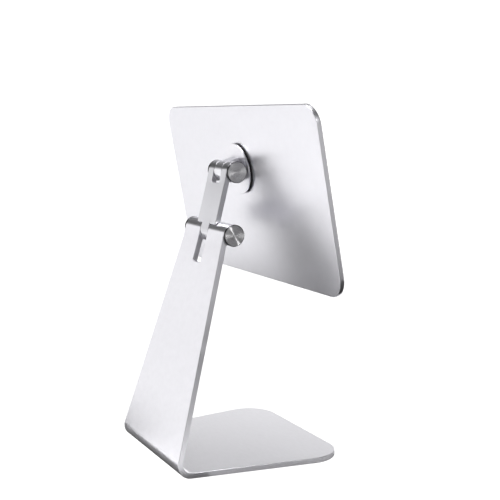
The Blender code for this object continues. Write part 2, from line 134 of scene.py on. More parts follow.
# %% A class that adds nodes
class Nodes:
    """A node tree with one method that adds any node."""

    def __init__(self, tree):
        self.tree = tree

    def add(self, kind, settings=None, inputs=None, out=0):
        node = self.tree.nodes.new(kind)
        for key, value in (settings or {}).items():
            setattr(node, key, value)
        for key, value in (inputs or {}).items():
            join(self.tree, node.inputs[key], value)
        return Wire(self.tree, node.outputs[out])


def ramp(kit, value, start, end, low, high):
    """A smooth step of a value from low to high."""
    ends = {"Value": value, "From Min": start, "From Max": end, "To Min": low, "To Max": high}
    return kit.add("ShaderNodeMapRange", {"interpolation_type": "SMOOTHSTEP"}, ends)


# %% [markdown]
# ## The room
# Satin metal shows what stands round it more than what shines on it, so the room itself is the main light.
# A picture of a studio could light it, but two smooth steps of height do as well and are easy to change: a
# white sweep low down behind the stand, a weaker one on the camera's side, and darkness above, which draws
# the dark tops of the knuckles. The eye sees the room as plain white.

# %% Room
# A height here belongs to a direction: 0 is level and 1 is straight up.
ROOM_WHITE = 1.2                        # the strength that the eye sees
SWEEP, SWEEP_TOP = 1.0, 0.14            # the far side's strength, and the height where it starts to fade
CEILING, CEILING_FROM = 0.02, 0.24      # the strength above, and the height where the fade ends
NEAR_SIDE, NEAR_TOP = 0.56, 0.1         # the same two values for the camera's side
NEAR_DARK = 0.2                         # and where its fade ends
SIDES_MEET = 0.6                        # the two sides blend over this much of X, each way

world = bpy.data.worlds.new("room")
scene.world = world
world.use_nodes = True
room = Nodes(world.node_tree)
backdrop = world.node_tree.nodes["Background"]
place = room.add("ShaderNodeTexCoord", out=0)
height = room.add("ShaderNodeSeparateXYZ", {}, {0: place}, out=2)
far_side = room.add("ShaderNodeSeparateXYZ", {}, {0: place}, out=0)
near = ramp(room, height, NEAR_TOP, NEAR_DARK, NEAR_SIDE, CEILING)
far = ramp(room, height, SWEEP_TOP, CEILING_FROM, SWEEP, CEILING)
side = ramp(room, far_side, -SIDES_MEET, SIDES_MEET, 0, 1)
fade = near * (1 - side) + far * side
seen = room.add("ShaderNodeLightPath", out=0)
join(room.tree, backdrop.inputs["Color"], (1, 1, 1))
join(room.tree, backdrop.inputs["Strength"], seen * ROOM_WHITE + (1 - seen) * fade)
scene.view_settings.view_transform = "Standard"
print("room strength:", ROOM_WHITE, "to the eye,", SWEEP, "low and", CEILING, "high to the metal")

# %% [markdown]
# ## The table
# The stand rests on a round white table that can't be told from the room. A lit white disc would show its
# shading, so the eye sees an even glow there, while the metal mirrors the real, shaded disc.

# %% Table
TABLE_RADIUS, TABLE_SIDES, TABLE_TONE = 1.2, 96, (0.9, 0.9, 0.9)
TABLE_SINK = 0.0002

bm = bmesh.new()
bmesh.ops.create_circle(bm, cap_ends=True, segments=TABLE_SIDES, radius=TABLE_RADIUS)
table_mesh = bpy.data.meshes.new("table")
bm.to_mesh(table_mesh)
bm.free()
table = bpy.data.objects.new("table", table_mesh)
table.location.z = -TABLE_SINK
scene.collection.objects.link(table)

table_top = bpy.data.materials.new("table_top")
table_top.use_nodes = True
sheet = Nodes(table_top.node_tree)
lit = sheet.add("ShaderNodeBsdfDiffuse", {}, {"Color": TABLE_TONE})
white = sheet.add("ShaderNodeEmission", {}, {"Color": (1, 1, 1), "Strength": ROOM_WHITE})
seen = sheet.add("ShaderNodeLightPath", out=0)
look = sheet.add("ShaderNodeMixShader", {}, {0: seen, 1: lit, 2: white})
join(sheet.tree, sheet.tree.nodes["Material Output"].inputs["Surface"], look)
table.data.materials.append(table_top)
print("table:", 2 * TABLE_RADIUS, "m across")

# %% [markdown]
# ## Soft boxes
# A big soft box overhead lights the table, a wide one in front lifts the foot, and a long faint one on the
# far side adds a cool gleam. A small hard one puts the narrow bright fan on the turned caps, and a low
# strip widens their pattern of light and dark. The strip would also wash over the foot, so it is linked to
# the caps alone once they are made.

# %% Soft boxes
MIDDLE = (0, 0, 0.17)
FOOT_MIDDLE = (0, 0, 0.05)


def soft_box(name, place, aim, size, glow, tint=(1, 1, 1)):
    """A rectangular area light that faces a point. Its glow is the brightness that a mirror would show."""
    lamp = bpy.data.lights.new(name, "AREA")
    lamp.shape = "RECTANGLE"
    lamp.size, lamp.size_y = size
    lamp.energy = glow * math.pi * size[0] * size[1]
    lamp.color = tint
    box = bpy.data.objects.new(name, lamp)
    place, aim = Vector(place), Vector(aim)
    box.location = place
    box.rotation_euler = (aim - place).to_track_quat("-Z", "Y").to_euler()
    scene.collection.objects.link(box)
    print(name, "glows at", glow)
    return box


soft_box("key_box", (1.95, 0.95, 0.40), MIDDLE, (2.6, 0.24), 0.2, tint=(0.98, 0.98, 1))
soft_box("top_box", (0.3, 0.5, 1.9), (0.1, 0.15, 0), (1.6, 1.6), 7.0)
soft_box("spark_box", (-1.42, -0.16, 0.92), MIDDLE, (0.2, 0.2), 50)
soft_box("front_box", (0.62, -0.6, 0.24), FOOT_MIDDLE, (0.9, 0.45), 0.8)
fan_box = soft_box("fan_box", (-1.12, 0.0, 0.05), MIDDLE, (0.5, 0.1), 2.6)

# %% [markdown]
# ## Cards
# In a studio, dark cards are laid on the table so that bright metal has something to mirror. Lamps can't
# take light away, and cards do it just where it is wanted. The eye doesn't see them. The one that hangs
# higher casts no shadow and takes no part in soft light: only a mirror finds it.

# %% Cards
ON_TABLE, UNDER_FOOT, RAISED = 0.001, 0.0003, 0.1
CARD_ROUGHNESS = 0.9


def card(name, x_range, y_range, height, shade):
    """A flat grey card between two X and two Y values."""
    (left, right), (front, back) = x_range, y_range
    outline = [(left, front), (right, front), (right, back), (left, back)]
    mesh = bpy.data.meshes.new(name)
    mesh.from_pydata([(x, y, height) for x, y in outline], [], [(0, 1, 2, 3)])
    made = bpy.data.objects.new(name, mesh)
    finish = bpy.data.materials.new(name)
    finish.use_nodes = True
    skin = finish.node_tree.nodes["Principled BSDF"].inputs
    skin["Base Color"].default_value = (shade, shade, shade, 1)
    skin["Roughness"].default_value = CARD_ROUGHNESS
    mesh.materials.append(finish)
    made.visible_camera = False
    scene.collection.objects.link(made)
    print(name, "has a shade of", shade)
    return made


card("dark_card", (0.1, 1.2), (-0.6, 0.12), ON_TABLE, 0.01)
# The two cards under the foot are painted shade: they stand in for the table's own shade under the bend and
# round the foot's edge, which the metal mirrors.
card("bend_card", (-0.1, 0.1), (0.05, 0.1), UNDER_FOOT, 0.1)
card("edge_card", (-0.1, 0.1), (-0.085, 0.05), UNDER_FOOT, 0.35)
card("side_card", (0.18, 0.44), (0.12, 0.23), ON_TABLE, 0.4)
card("near_card", (-1.0, -0.3), (-0.7, 0.6), ON_TABLE, 0.05)
low_card = card("low_card", (-0.5, -0.09), (-0.4, 0.1), RAISED, 0.02)
low_card.visible_shadow = False
low_card.visible_diffuse = False

# %% [markdown]
# ## Satin aluminium
# Bead-blasted aluminium is a field of tiny dents under clear anodising. The dents spread the reflections,
# so the metal is satin. They are too small to cut in the mesh, so the grain is a fine noise in a bump. A
# slower noise, drawn out along one direction like rolled sheet, moves the colour and the roughness a
# little. The arm is a tone darker than the foot and the neck, and the plate is a little rougher.

# %% Satin aluminium
GRAIN_SCALE, GRAIN_STRENGTH, GRAIN_DEPTH = 5200, 0.25, 0.00002
MOTTLE_SCALE, MOTTLE_STRETCH = 150, (1, 3, 1)
MOTTLE_ROUGHNESS, GRAIN_ROUGHNESS = 0.02, 0.04


def new_finish(name, viewport):
    """A material, its node tree, and the inputs of its shader."""
    made = bpy.data.materials.new(name)
    made.use_nodes = True
    made.diffuse_color = (*viewport, 1)
    return made, Nodes(made.node_tree), made.node_tree.nodes["Principled BSDF"].inputs


def two_tone(kit, amount, low, high):
    """A colour between two tones."""
    return kit.add("ShaderNodeMix", {"data_type": "RGBA"}, {0: amount, 6: low, 7: high}, out=2)


def satin(name, low, high, roughness):
    """Blasted and anodised aluminium between two close tones."""
    made, kit, skin = new_finish(name, high)
    place = kit.add("ShaderNodeTexCoord", out=3)
    grain = kit.add("ShaderNodeTexNoise", {},
                    {"Vector": place, "Scale": GRAIN_SCALE, "Detail": 2, "Roughness": 0.6})
    drawn = kit.add("ShaderNodeVectorMath", {"operation": "MULTIPLY"}, {0: place, 1: MOTTLE_STRETCH})
    mottle = kit.add("ShaderNodeTexNoise", {},
                     {"Vector": drawn, "Scale": MOTTLE_SCALE, "Detail": 5, "Roughness": 0.62})
    dents = kit.add("ShaderNodeBump", {},
                    {"Strength": GRAIN_STRENGTH, "Distance": GRAIN_DEPTH, "Height": grain})
    join(kit.tree, skin["Base Color"], two_tone(kit, mottle, low, high))
    join(kit.tree, skin["Roughness"], roughness + mottle * MOTTLE_ROUGHNESS + grain * GRAIN_ROUGHNESS)
    join(kit.tree, skin["Normal"], dents)
    skin["Metallic"].default_value = 1.0
    return made


satin_aluminium = satin("satin_aluminium", (0.822, 0.815, 0.853), (0.918, 0.912, 0.952), 0.27)
arm_aluminium = satin("arm_aluminium", (0.69, 0.688, 0.72), (0.73, 0.728, 0.76), 0.26)
plate_aluminium = satin("plate_aluminium", (0.842, 0.837, 0.877), (0.897, 0.892, 0.932), 0.31)
print("satin grain, mm:", round(1 / GRAIN_SCALE / MM, 2))

# %% [markdown]
# ## Spun steel
# The hinge caps are turned on a lathe. Each pass of the tool leaves a fine ring, and together the rings
# pull every highlight out into a fan from the centre. Rings that can be seen are cut in the mesh. The finer
# ones are a one-dimensional noise along the radius, and the shader's own anisotropy stands for the ones
# finer still. Round the edge the colour is painted dark, a painted shade for the gap between cap and
# knuckle.

# %% Spun steel
# The edge tone is a painted shade: from the first radius to the second, the cap's edge turns dark for the
# shade in the gap between cap and knuckle.
SPUN_DARK, SPUN_BRIGHT, EDGE_SHADE_TONE = (0.52, 0.515, 0.525), (0.94, 0.935, 0.94), (0.07, 0.07, 0.075)
EDGE_SHADE_FROM, EDGE_SHADE_TO = 0.0082, 0.0084
RING_SCALE, GROOVE_STRENGTH, GROOVE_DEPTH = 4200, 0.6, 0.00004
SPUN_ROUGHNESS, RING_ROUGHNESS = 0.24, 0.1
QUARTER_TURN = 0.25

spun_steel, kit, skin = new_finish("spun_steel", (0.62, 0.62, 0.64))
place = kit.add("ShaderNodeTexCoord", out=3)
flat = kit.add("ShaderNodeVectorMath", {"operation": "MULTIPLY"}, {0: place, 1: (1, 1, 0)})
radius = kit.add("ShaderNodeVectorMath", {"operation": "LENGTH"}, {0: flat}, out=1)
rings = kit.add("ShaderNodeTexNoise", {"noise_dimensions": "1D"},
                {"W": radius, "Scale": RING_SCALE, "Detail": 3})
face = two_tone(kit, rings, SPUN_DARK, SPUN_BRIGHT)
# rim is the mask of that painted shade at the cap's edge.
rim = kit.add("ShaderNodeMapRange", {}, {"Value": radius, "From Min": EDGE_SHADE_FROM, "From Max": EDGE_SHADE_TO})
grooves = kit.add("ShaderNodeBump", {},
                  {"Strength": GROOVE_STRENGTH, "Distance": GROOVE_DEPTH, "Height": rings})
join(kit.tree, skin["Base Color"], two_tone(kit, rim, face, EDGE_SHADE_TONE))
join(kit.tree, skin["Roughness"], SPUN_ROUGHNESS + rings * RING_ROUGHNESS)
join(kit.tree, skin["Normal"], grooves)
skin["Metallic"].default_value = 1.0
skin["Anisotropic"].default_value = 1.0
skin["Anisotropic Rotation"].default_value = QUARTER_TURN
print("the rim darkens at", EDGE_SHADE_FROM / MM, "mm from the centre")

# %% [markdown]
# ## Steel, polymer, silicone and nickel
# The parts inside the hinges are plain machined steel and moulded black polymer, the magnets are
# nickel-plated and the two pads are soft silicone. Some of them hardly show, but a part of the library can
# be taken apart, so each has its own finish. One recipe serves all four: a fine speckle and a slow one
# share the work.

# %% Steel, polymer, silicone and nickel
SPECKLE_SHARE, SLOW_SHARE, SLOWER = 0.6, 0.4, 40
ROUGHNESS_SPREAD, SPECKLE_STRENGTH = 0.1, 0.4


def plain_finish(name, low, high, roughness, metallic, scale, depth, shine=0.5):
    """A base colour between two tones on a fine noise, with a roughness and a bump that follow it."""
    made, kit, skin = new_finish(name, high)
    place = kit.add("ShaderNodeTexCoord", out=3)
    speckle = kit.add("ShaderNodeTexNoise", {}, {"Vector": place, "Scale": scale, "Detail": 3})
    slow = kit.add("ShaderNodeTexNoise", {}, {"Vector": place, "Scale": scale / SLOWER, "Detail": 2})
    bump = kit.add("ShaderNodeBump", {},
                   {"Strength": SPECKLE_STRENGTH, "Distance": depth, "Height": speckle})
    tone = speckle * SPECKLE_SHARE + slow * SLOW_SHARE
    join(kit.tree, skin["Base Color"], two_tone(kit, tone, low, high))
    join(kit.tree, skin["Roughness"], roughness + speckle * ROUGHNESS_SPREAD + slow * ROUGHNESS_SPREAD)
    join(kit.tree, skin["Normal"], bump)
    skin["Metallic"].default_value = metallic
    skin["Specular IOR Level"].default_value = shine
    return made


steel = plain_finish("steel", (0.40, 0.405, 0.42), (0.52, 0.525, 0.54), 0.25, 1.0, 3000, 0.00002)
nickel = plain_finish("magnet", (0.64, 0.63, 0.60), (0.74, 0.73, 0.70), 0.2, 1.0, 2200, 0.00001)
black_polymer = plain_finish("black_polymer", (0.006, 0.006, 0.007), (0.012, 0.012, 0.013), 0.5, 0.0,
                             2600, 0.00003, shine=0.2)
silicone = plain_finish("silicone", (0.022, 0.022, 0.024), (0.056, 0.056, 0.059), 0.58, 0.0, 1600, 0.00006)
FINISHES = {"satin_aluminium": satin_aluminium, "spun_steel": spun_steel, "steel": steel,
            "magnet": nickel, "black_polymer": black_polymer, "silicone": silicone}
print("finishes:", ", ".join(FINISHES))

# %% [markdown]
# ## Where the parts sit
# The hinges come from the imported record: each joint has a point on its axis. Each part is drawn in its own
# frame, which stands on a hinge axis and leans with the part, so the drawing reads like the real drawing.

# %% Frames on the hinge axes
NECK_LEAN, ARM_LEAN, PLATE_TILT = (math.radians(a) for a in (16.0, 14.1, -11.0))
hinges = {joint["name"]: Vector(joint["pos_m"]) for joint in frame["joints"]}


def leaning(place, angle):
    """A frame that stands on a point and leans about X."""
    return Matrix.Translation(place) @ Matrix.Rotation(angle, 4, "X")


FLOOR = Matrix.Identity(4)
NECK = leaning(hinges["arm_swing"], NECK_LEAN)
ARM = leaning(hinges["arm_swing"], ARM_LEAN)
CLEVIS = leaning(hinges["plate_tilt"], ARM_LEAN)
PLATE = leaning(hinges["plate_tilt"], PLATE_TILT)
ALONG_X = Matrix.Rotation(math.pi / 2, 4, "Y")
ALONG_MINUS_X = Matrix.Rotation(-math.pi / 2, 4, "Y")
TO_BACK = Matrix.Rotation(-math.pi / 2, 4, "X")
# The last two swap axes: a slab drawn flat then faces the back, or has its thickness along X.
STAND_UP = Matrix(((1, 0, 0, 0), (0, 0, 1, 0), (0, 1, 0, 0), (0, 0, 0, 1)))
SIDEWAYS = Matrix(((0, 0, 1, 0), (1, 0, 0, 0), (0, 1, 0, 0), (0, 0, 0, 1)))
print("hinge axes, mm:", {k: [round(v / MM, 1) for v in p] for k, p in hinges.items()})

# %% [markdown]
# ## Turning and rounding
# A turned part is a profile spun round an axis, and on a lathe its corners are broken as it is cut. So the
# corners of a profile are rounded first, each by a short curve, and the profile is spun afterwards. Every
# part is made with its points already in place. Only the caps get an origin of their own, for the sake of
# their rings.

# %% Turned solids
TINY = 1e-6


def from_bmesh(name, bm, where=FLOOR):
    """An object with its points moved into the common frame."""
    bmesh.ops.recalc_face_normals(bm, faces=bm.faces)
    mesh = bpy.data.meshes.new(name)
    bm.to_mesh(mesh)
    bm.free()
    mesh.transform(where)
    made = bpy.data.objects.new(name, mesh)
    scene.collection.objects.link(made)
    return made


def turned(name, profile, where=FLOOR, sides=128, closed=False):
    """A profile of (radius, height) points in millimetres, turned round Z."""
    bm = bmesh.new()
    loops = []
    for radius, height in profile:
        if radius < TINY:
            loops.append([bm.verts.new((0, 0, height * MM))] * sides)
            continue
        ring = []
        for step in range(sides):
            a = 2 * math.pi * step / sides
            ring.append(bm.verts.new((radius * math.cos(a) * MM, radius * math.sin(a) * MM, height * MM)))
        loops.append(ring)
    pairs = list(zip(loops, loops[1:]))
    if closed:
        pairs.append((loops[-1], loops[0]))
    for one, two in pairs:
        for step in range(sides):
            after = (step + 1) % sides
            corners = [one[step], one[after], two[after], two[step]]
            bm.faces.new(list(dict.fromkeys(corners)))
    return from_bmesh(name, bm, where)


def rounded(profile, size, steps=3):
    """Rounds the corners of a profile, apart from its two ends."""
    made = [profile[0]]
    for before, corner, after in zip(profile, profile[1:], profile[2:]):
        here = Vector(corner)
        back, on = (Vector(before) - here), (Vector(after) - here)
        reach = min(size, back.length / 2, on.length / 2)
        start, end = here + back.normalized() * reach, here + on.normalized() * reach
        for step in range(steps + 1):
            t = step / steps
            made.append(tuple(start * (1 - t) ** 2 + here * 2 * t * (1 - t) + end * t * t))
    return made + [profile[-1]]


# %% [markdown]
# ## Cutting from sheet, joining and boring
# A flat part is an outline pushed up to its thickness, with its rims rounded. Joining and cutting are
# Booleans. They leave stray points where faces meet, so each finished piece is cleaned. Its normals are
# then weighted by face area: the big faces stay flat, and only the rounded edges catch the light.

# %% Slabs and Booleans
SAME_HEIGHT = 1e-9


def slab(name, outline, low, high, where=FLOOR, edge=0.0):
    """A flat outline in X and Y, from low to high along Z, in millimetres, with its rims rounded."""
    bm = bmesh.new()
    base = bm.faces.new([bm.verts.new((x * MM, y * MM, low * MM)) for x, y in outline])
    walls = bmesh.ops.extrude_face_region(bm, geom=[base])
    lifted = [v for v in walls["geom"] if isinstance(v, bmesh.types.BMVert)]
    bmesh.ops.translate(bm, verts=lifted, vec=(0, 0, (high - low) * MM))
    if edge:
        rims = [e for e in bm.edges if abs(e.verts[0].co.z - e.verts[1].co.z) < SAME_HEIGHT]
        bmesh.ops.bevel(bm, geom=rims, offset=edge * MM, segments=3, profile=0.5, affect="EDGES")
    return from_bmesh(name, bm, where)


def combine(piece, operation, tool):
    """Joins a tool to a piece, or cuts the piece with it, and throws the tool away."""
    change = piece.modifiers.new("change", "BOOLEAN")
    change.operation = operation
    change.solver = "EXACT"
    change.object = tool
    bpy.context.view_layer.update()
    result = bpy.data.meshes.new_from_object(piece.evaluated_get(bpy.context.evaluated_depsgraph_get()))
    piece.modifiers.clear()
    old, piece.data = piece.data, result
    bpy.data.meshes.remove(old)
    bpy.data.objects.remove(tool)


def join_on(piece, tool):
    combine(piece, "UNION", tool)


def cut(piece, tool):
    combine(piece, "DIFFERENCE", tool)


# %% Finishing a piece
SHARP = math.radians(38)
WELD_WITHIN = 2e-6


def finish_piece(piece, body, node, slot, about=None, finish=None):
    """Cleans a piece, smooths it, gives it its finish and hands it to the frame in place of its solid."""
    bm = bmesh.new()
    bm.from_mesh(piece.data)
    bmesh.ops.remove_doubles(bm, verts=bm.verts, dist=WELD_WITHIN)
    bmesh.ops.dissolve_degenerate(bm, dist=TINY, edges=bm.edges)
    open_edges = sum(1 for e in bm.edges if not e.is_manifold)
    bm.to_mesh(piece.data)
    bm.free()
    piece.data.materials.clear()
    piece.data.materials.append(finish or FINISHES[slot])
    piece.data.shade_smooth()
    piece.data.set_sharp_from_angle(angle=SHARP)
    even = piece.modifiers.new("even_shading", "WEIGHTED_NORMAL")
    even.keep_sharp = True
    if about is not None:
        piece.data.transform(about.inverted())
        piece.matrix_world = about
    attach(piece, body)
    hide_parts(node)
    print(f"{piece.name}: {len(piece.data.polygons)} faces, {open_edges} open edges")


# %% [markdown]
# ## The foot and the neck
# One sheet of aluminium makes both. It is cut flat, with rounded front corners and a slot for the arm, then
# bent once. The sheet is drawn here as it is bent: one face for the foot, a fan of narrow ones round the
# bend and one for the neck with its slot. Solidify gives it thickness and a bevel breaks its edges.

# %% Measures of the sheet
SHEET = 4.5                   # thickness
EDGE = 0.42                   # rounding of the sheet's edges
EDGE_STEPS = 3
GAP = 0.3                     # clearance between two parts
OVER = 2                      # how far a cutter runs past what it cuts
PAD_PROUD = 0.6               # the foot stands this high on its pad
PAD_THICK = 1.5
PAD_INSET = 4.0
PAD_EDGE = 0.25
FOOT_FRONT_Y = -68.8
FOOT_FRONT_HALF = 78.3        # half width at the front, before its corners are rounded
FOOT_CORNER = 26.0
FOOT_CORNER_STEPS = 28
FOOT_BEND_HALF = 60.4         # half width where the bend starts
NECK_BEND_HALF = 58.8         # half width where the bend ends
NECK_TOP_HALF = 36.8
NECK_BACK_Y = 79.4            # where the outer faces would meet if the bend were sharp
NECK_LENGTH = 194.9           # from there up to the hinge axis
BEND_RADIUS = 11.0
BEND_STEPS = 42
ROUND_FROM = math.radians(60)  # sharper edges than this are rounded
SLOT_HALF = 7.4
SLOT_BELOW = 27.9             # the slot's bottom, below the hinge axis
SLOT_CORNER = 1.0
BARREL = 8.75                 # radius of a knuckle
AXIS_DEPTH = 8.35             # from a hinge axis to the back of its sheet
SHEET_SHORT = 1.0             # the sheet ends this far inside its knuckle

BEND_ANGLE = math.pi / 2 + NECK_LEAN
BEND_TANGENT = BEND_RADIUS * math.tan(BEND_ANGLE / 2)
BEND_LENGTH = BEND_RADIUS * BEND_ANGLE
FOOT_FLAT = NECK_BACK_Y - BEND_TANGENT - FOOT_FRONT_Y
SIDE_SLOPE = math.atan2(FOOT_FRONT_HALF - FOOT_BEND_HALF, FOOT_FLAT)
NECK_UP = Vector((0, -math.sin(NECK_LEAN), math.cos(NECK_LEAN)))
AXIS_AT = FOOT_FLAT + BEND_LENGTH + NECK_LENGTH - BEND_TANGENT  # along the sheet
sheet_front, sheet_back = AXIS_DEPTH - SHEET, AXIS_DEPTH
print("flat foot", round(FOOT_FLAT, 1), "mm, bend", round(math.degrees(BEND_ANGLE)), "degrees")


# %% Outlines of the foot and the slots
def foot_corner(inset=0.0):
    """(distance from the front edge, half width) round a front corner."""
    lean = math.pi / 2 + SIDE_SLOPE
    centre = FOOT_FRONT_HALF - FOOT_CORNER * (1 + math.sin(SIDE_SLOPE)) / math.cos(SIDE_SLOPE)
    size = FOOT_CORNER - inset
    turns = [lean * step / FOOT_CORNER_STEPS for step in range(FOOT_CORNER_STEPS + 1)]
    return [(FOOT_CORNER - size * math.cos(a), centre + size * math.sin(a)) for a in turns]


def slot_corner(half, bottom, radius, steps=6):
    """(half width, height) round the corner of a slot, from its wall to its bottom."""
    turns = [math.pi / 2 * step / steps for step in range(steps, -1, -1)]
    return [(half - radius * (1 - math.sin(a)), bottom + radius * (1 - math.cos(a))) for a in turns]


def on_sheet(distance, across):
    """A point of the sheet's outer face, at a distance from the foot's front edge."""
    if distance <= FOOT_FLAT:
        return Vector((across, FOOT_FRONT_Y + distance, PAD_PROUD)) * MM
    angle = min((distance - FOOT_FLAT) / BEND_RADIUS, BEND_ANGLE)
    centre = Vector((across, FOOT_FRONT_Y + FOOT_FLAT, PAD_PROUD + BEND_RADIUS))
    round_part = centre + Vector((0, math.sin(angle), -math.cos(angle))) * BEND_RADIUS
    return (round_part + NECK_UP * (distance - FOOT_FLAT - BEND_RADIUS * angle)) * MM


# %% The bent sheet
sheet_top = AXIS_AT - SHEET_SHORT
bm = bmesh.new()
bend_rows = []
for step in range(BEND_STEPS + 1):
    t = step / BEND_STEPS
    half = FOOT_BEND_HALF + (NECK_BEND_HALF - FOOT_BEND_HALF) * t
    bend_rows.append([bm.verts.new(on_sheet(FOOT_FLAT + BEND_LENGTH * t, side * half)) for side in (-1, 1)])
right = [bm.verts.new(on_sheet(along, half)) for along, half in foot_corner()]
left = [bm.verts.new(on_sheet(along, -half)) for along, half in foot_corner()]
bm.faces.new(right + [bend_rows[0][1], bend_rows[0][0]] + left[::-1])
for one, two in zip(bend_rows, bend_rows[1:]):
    bm.faces.new((one[1], two[1], two[0], one[0]))

neck_right = [(AXIS_AT - BARREL, NECK_TOP_HALF), (sheet_top, NECK_TOP_HALF), (sheet_top, SLOT_HALF)]
neck_right += [(along, half) for half, along in slot_corner(SLOT_HALF, AXIS_AT - SLOT_BELOW, SLOT_CORNER)]
mirrored = [(along, -half) for along, half in neck_right[::-1]]
neck = [bm.verts.new(on_sheet(along, half)) for along, half in neck_right + mirrored]
bm.faces.new([bend_rows[-1][0], bend_rows[-1][1]] + neck)
base_and_neck = from_bmesh("foot_and_neck_skin", bm)

thick = base_and_neck.modifiers.new("thickness", "SOLIDIFY")
thick.thickness = SHEET * MM
thick.offset = -1
thick.use_even_offset = True
broken = base_and_neck.modifiers.new("edges", "BEVEL")
broken.width = EDGE * MM
broken.segments = EDGE_STEPS
broken.limit_method = "ANGLE"
broken.angle_limit = ROUND_FROM

# %% [markdown]
# ## Knuckles and bores
# A knuckle is a round eye that runs smoothly into the flat back of its sheet. A barrel pushed into a slab
# would leave a crease there, which the milled metal doesn't have. So the eye is cut from one outline, a
# circle that leaves on a straight tangent. It is a hair smaller than the sheet, because a Boolean of faces
# that lie in one plane can leave black patches.

# %% Knuckles and bores
KNUCKLE_EDGE = 0.15
KNUCKLE_STEPS = 72
BLEND = 11.0                   # how far the eye's flat back runs from the axis
HAIR = 0.02
CUTTER_EDGE = 0.1
BORE = 2.9
POCKET, POCKET_DEPTH = 6.2, 6.5
WASHER_SEAT, WASHER_DEPTH = 6.1, 1.4


def eye(name, start, end, where, flat_to):
    """A knuckle along X whose back is flat from the axis to a height above or below it."""
    front = sheet_front + HAIR
    outline = [(front, flat_to), (sheet_back, flat_to)]
    towards = 1 if flat_to > 0 else -1
    turn = 2 * math.pi - math.acos(front / BARREL)
    for step in range(KNUCKLE_STEPS + 1):
        a = -towards * turn * step / KNUCKLE_STEPS
        outline.append((BARREL * math.cos(a), BARREL * math.sin(a)))
    return slab(name, outline, start + HAIR, end - HAIR, where @ SIDEWAYS, edge=KNUCKLE_EDGE)


def rod(name, half, where, radius):
    """A turned rod along X with rounded ends, used as a cutter."""
    profile = rounded([(0, half), (radius, half), (radius, -half), (0, -half)], CUTTER_EDGE)
    return turned(name, profile, where @ ALONG_X)


def hinge_bore(name, where, half, inner):
    """The bore of a pair of knuckles with its end pockets and washer recesses."""
    side = [(POCKET, half + OVER), (POCKET, half - POCKET_DEPTH), (BORE, half - POCKET_DEPTH),
            (BORE, inner + WASHER_DEPTH), (WASHER_SEAT, inner + WASHER_DEPTH)]
    profile = [(0, half + OVER)] + side + [(r, -h) for r, h in side[::-1]] + [(0, -half - OVER)]
    return turned(name, profile, where @ ALONG_X, sides=96)


def foot_pad_outline(inset):
    """The foot's outline moved in, and closed off short of the bend."""
    side = [(half, FOOT_FRONT_Y + along) for along, half in foot_corner(inset)]
    side.append((FOOT_BEND_HALF - inset, FOOT_FRONT_Y + FOOT_FLAT - inset))
    return side + [(-x, y) for x, y in side[::-1]]


# %% The foot and neck, joined and bored
ARM_TONGUE = 6.9
join_on(base_and_neck, eye("knuckle", SLOT_HALF, NECK_TOP_HALF, NECK, -BLEND))
join_on(base_and_neck, eye("knuckle", -NECK_TOP_HALF, -SLOT_HALF, NECK, -BLEND))
cut(base_and_neck, hinge_bore("bore", NECK, NECK_TOP_HALF, ARM_TONGUE))
cut(base_and_neck, slab("recess", foot_pad_outline(PAD_INSET), -OVER, PAD_THICK + GAP))
finish_piece(base_and_neck, "foot", "base_and_neck", "satin_aluminium")

# %% [markdown]
# ## The foot pad
# A soft sheet lies in a shallow recess under the foot and stands a little proud of it, so the stand rests
# on rubber and not on metal. It follows the foot's own outline, moved in.

# %% The foot pad
base_pad = slab("foot_pad_skin", foot_pad_outline(PAD_INSET + GAP), 0, PAD_THICK, edge=PAD_EDGE)
finish_piece(base_pad, "foot", "base_pad", "silicone")

# %% [markdown]
# ## The arm
# The arm is cut from the same sheet. Its narrow tongue goes between the knuckles of the neck, and its own
# two knuckles hold the bracket. The shoulders are hollowed to clear the neck's knuckles as the arm swings,
# which is easier to cut than to draw.

# %% Arm blank
ARM_LENGTH = 50.55             # between the two hinge axes
ARM_HALF = 16.8
SHOULDER = 5.0                 # the arm gets wide this far above the lower axis
CLEVIS_HALF = 7.1
CLEVIS_BELOW = 11.25           # the window's bottom, below the upper axis
CLEVIS_CORNER = 0.8
arm_top = ARM_LENGTH - SHEET_SHORT
arm_side = [(ARM_TONGUE, SHEET_SHORT), (ARM_TONGUE, SHOULDER), (ARM_HALF, SHOULDER), (ARM_HALF, arm_top),
            (CLEVIS_HALF, arm_top)]
arm_side += slot_corner(CLEVIS_HALF, ARM_LENGTH - CLEVIS_BELOW, CLEVIS_CORNER)
arm_outline = arm_side + [(-x, z) for x, z in arm_side[::-1]]
arm = slab("arm_skin", arm_outline, sheet_front, sheet_back, ARM @ STAND_UP, edge=EDGE)

# %% Arm knuckles and bores
BUSH_HOLE, BRACKET_HALF = 4.2, 6.6
arm_end = ARM @ Matrix.Translation((0, 0, ARM_LENGTH * MM))
cut(arm, rod("relief", ARM_HALF + OVER, ARM, BARREL + 2 * GAP))
join_on(arm, eye("tongue", -ARM_TONGUE, ARM_TONGUE, ARM, BLEND))
join_on(arm, eye("knuckle", CLEVIS_HALF, ARM_HALF, arm_end, -BLEND))
join_on(arm, eye("knuckle", -ARM_HALF, -CLEVIS_HALF, arm_end, -BLEND))
cut(arm, rod("bush_hole", ARM_TONGUE + OVER, ARM, BUSH_HOLE))
cut(arm, hinge_bore("bore", arm_end, ARM_HALF, BRACKET_HALF))
finish_piece(arm, "arm", "arm", "satin_aluminium", finish=arm_aluminium)

# %% [markdown]
# ## The bracket
# The bracket's tongue tilts in the arm's knuckles and ends in a thin round flange. Turned parts and milled
# parts meet in it, so the flange is spun, the tongue is cut from one outline, and the two are joined. The
# outline leaves its circle on a tangent, as the eyes do.

